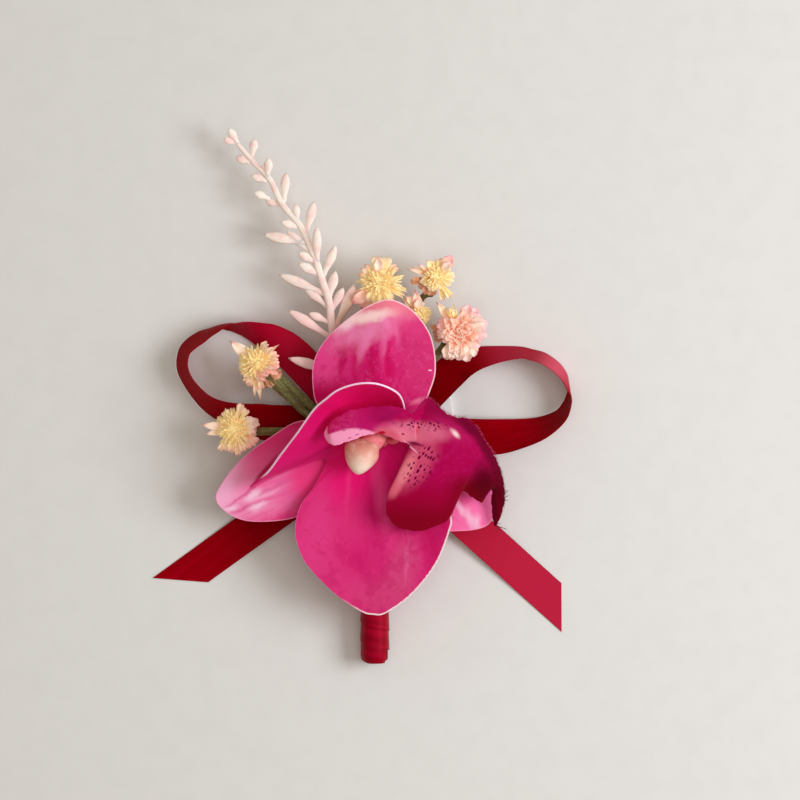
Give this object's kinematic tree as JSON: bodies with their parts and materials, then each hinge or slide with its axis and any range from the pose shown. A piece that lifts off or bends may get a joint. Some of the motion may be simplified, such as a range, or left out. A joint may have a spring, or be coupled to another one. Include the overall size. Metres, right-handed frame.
{
  "type": "orchid corsage",
  "caption": "Artificial moth orchid pinned in front of a satin ribbon bow, with small filler flowers, a spray of buds and a ribbon wound handle; worn on a lapel or dress.",
  "frame": {"origin": "middle of the object's outline, on the surface that it lies on", "axes": "+Z away from the surface, +Y from the wound handle towards the spray, +X to the right of someone who looks down on the orchid"},
  "size_m": [0.1104, 0.141, 0.038],
  "materials": {
    "back_pad": "matte felt",
    "ribbon": "satin",
    "thread": "matte",
    "stem_wrap": "satin",
    "stems": "matte",
    "sepals": "matte, printed",
    "petals": "matte, printed",
    "lip": "matte, printed",
    "column": "satin",
    "spray": "matte",
    "head_petals": "matte",
    "salmon_head_petals": "matte",
    "head_tufts": "matte"
  },
  "bodies": {
    "root": {"back_pad": "back_pad", "ribbon_bow": "ribbon", "bow_thread": "thread", "stem_wrap": "stem_wrap", "filler_stems_left": "stems", "filler_stems_right": "stems", "orchid_stem": "stems", "sepals": "sepals", "petals": "petals", "lip": "lip", "column": "column", "pink_spray": "spray", "head_1_petals": "head_petals", "head_1_tuft": "head_tufts", "head_2_petals": "head_petals", "head_2_tuft": "head_tufts", "head_3_petals": "head_petals", "head_3_tuft": "head_tufts", "head_4_petals": "head_petals", "head_4_tuft": "head_tufts", "head_5_petals": "head_petals", "head_5_tuft": "head_tufts", "head_6_petals": "salmon_head_petals", "head_6_tuft": "head_tufts"}
  },
  "joints": []
}
